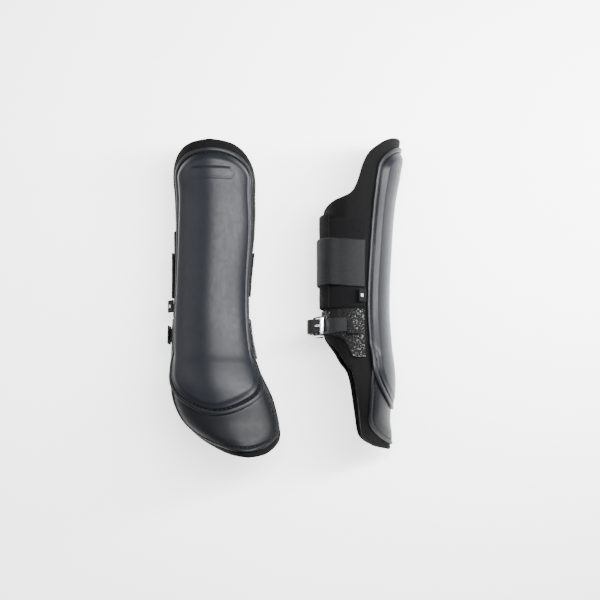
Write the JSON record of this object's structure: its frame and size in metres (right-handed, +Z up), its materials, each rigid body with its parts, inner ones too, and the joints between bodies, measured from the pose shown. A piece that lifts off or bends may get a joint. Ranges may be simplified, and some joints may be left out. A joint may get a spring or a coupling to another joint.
{
  "type": "pair of horse tendon boots",
  "caption": "Pair of closed tendon boots with moulded strike shells, flared fetlock guards, neoprene liners, elastic straps and small buckled straps.",
  "frame": {"origin": "on the floor under the middle of the pair", "axes": "+Z up, +Y along the boots towards their knee ends, +X from the left boot to the right one"},
  "size_m": [0.229, 0.3024, 0.1014],
  "materials": {
    "neoprene": "matt knit-faced neoprene",
    "lining": "soft knit",
    "foam": "closed-cell foam",
    "shell": "satin moulded shell",
    "guard": "matt moulded shell",
    "thread": "bonded thread",
    "loop_fabric": "brushed loop",
    "hook_tape": "hook tape",
    "elastic": "ribbed woven elastic",
    "patent": "glossy pebbled coated leather",
    "strap_leather": "matt strap leather",
    "buckle_metal": "polished",
    "label": "woven label"
  },
  "bodies": {
    "left_boot": {"left_liner": "neoprene", "left_inner_lining": "lining", "left_shell_foam": "foam", "left_main_shell": "shell", "left_main_shell_stitching": "thread", "left_fetlock_guard": "guard", "left_fetlock_guard_stitching": "thread", "left_loop_panel": "loop_fabric", "left_near_reinforcement": "patent", "left_far_reinforcement": "patent", "left_buckle_strap": "strap_leather", "left_strap_anchor_tab": "patent", "left_buckle_chape": "strap_leather", "left_strap_keeper": "strap_leather", "left_label_tab": "label"},
    "left_closure_flap_body": {"left_closure_flap": "neoprene", "left_flap_hook_pad": "hook_tape"},
    "left_elastic_strap_body": {"left_elastic_strap": "elastic", "left_strap_hook_pad": "hook_tape"},
    "left_buckle_frame_body": {"left_buckle_frame": "buckle_metal"},
    "left_buckle_tongue_body": {"left_buckle_tongue": "buckle_metal"},
    "left_buckle_roller_body": {"left_buckle_roller": "buckle_metal"},
    "right_boot": {"right_liner": "neoprene", "right_inner_lining": "lining", "right_shell_foam": "foam", "right_main_shell": "shell", "right_main_shell_stitching": "thread", "right_fetlock_guard": "guard", "right_fetlock_guard_stitching": "thread", "right_loop_panel": "loop_fabric", "right_near_reinforcement": "patent", "right_far_reinforcement": "patent", "right_buckle_strap": "strap_leather", "right_strap_anchor_tab": "patent", "right_buckle_chape": "strap_leather", "right_strap_keeper": "strap_leather", "right_label_tab": "label"},
    "right_closure_flap_body": {"right_closure_flap": "neoprene", "right_flap_hook_pad": "hook_tape"},
    "right_elastic_strap_body": {"right_elastic_strap": "elastic", "right_strap_hook_pad": "hook_tape"},
    "right_buckle_frame_body": {"right_buckle_frame": "buckle_metal"},
    "right_buckle_tongue_body": {"right_buckle_tongue": "buckle_metal"},
    "right_buckle_roller_body": {"right_buckle_roller": "buckle_metal"}
  },
  "joints": [
    {"name": "left_elastic_strap_peel", "type": "hinge", "parent": "left_boot", "child": "left_elastic_strap_body", "pos_m": [-0.10853, 0.0204, 0.04707], "axis": [0, 0.9931, -0.1175], "range_deg": [0, 120]},
    {"name": "left_closure_flap_fold", "type": "hinge", "parent": "left_boot", "child": "left_closure_flap_body", "pos_m": [-0.03329, 0.02142, 0.02597], "axis": [-0.0595, -0.9913, 0.1173], "range_deg": [0, 60]},
    {"name": "left_buckle_frame_tilt", "type": "hinge", "parent": "left_boot", "child": "left_buckle_frame_body", "pos_m": [-0.07887, -0.0427, 0.0074], "axis": [0, -0.9931, 0.1175], "range_deg": [0, 30]},
    {"name": "left_buckle_tongue_lift", "type": "hinge", "parent": "left_buckle_frame_body", "child": "left_buckle_tongue_body", "pos_m": [-0.07887, -0.0427, 0.0074], "axis": [0, -0.9931, 0.1175], "range_deg": [0, 35]},
    {"name": "left_buckle_roller_spin", "type": "hinge", "parent": "left_buckle_frame_body", "child": "left_buckle_roller_body", "pos_m": [-0.09419, -0.04183, 0.01473], "axis": [0, 0.9931, -0.1175], "continuous": true},
    {"name": "right_elastic_strap_peel", "type": "hinge", "parent": "right_boot", "child": "right_elastic_strap_body", "pos_m": [0.0743, 0.03059, 0.0885], "axis": [0, 0.9948, -0.1019], "range_deg": [0, 120]},
    {"name": "right_closure_flap_fold", "type": "hinge", "parent": "right_boot", "child": "right_closure_flap_body", "pos_m": [0.05347, 0.0264, 0.01329], "axis": [0, -0.987, 0.1609], "range_deg": [0, 60]},
    {"name": "right_buckle_frame_tilt", "type": "hinge", "parent": "right_boot", "child": "right_buckle_frame_body", "pos_m": [0.02749, -0.03014, 0.0649], "axis": [0, -0.9948, 0.1019], "range_deg": [0, 30]},
    {"name": "right_buckle_tongue_lift", "type": "hinge", "parent": "right_buckle_frame_body", "child": "right_buckle_tongue_body", "pos_m": [0.02749, -0.03014, 0.0649], "axis": [0, -0.9948, 0.1019], "range_deg": [0, 35]},
    {"name": "right_buckle_roller_spin", "type": "hinge", "parent": "right_buckle_frame_body", "child": "right_buckle_roller_body", "pos_m": [0.03487, -0.02857, 0.08014], "axis": [0, 0.9948, -0.1019], "continuous": true},
    {"name": "right_boot_apart", "type": "slide", "parent": "left_boot", "child": "right_boot", "axis": [1, 0, 0], "range_m": [0, 0.15]}
  ],
  "couplings": [
    {"joint": "left_closure_flap_fold", "follows": "left_elastic_strap_peel", "ratio": 0.5},
    {"joint": "right_closure_flap_fold", "follows": "right_elastic_strap_peel", "ratio": 0.5}
  ]
}
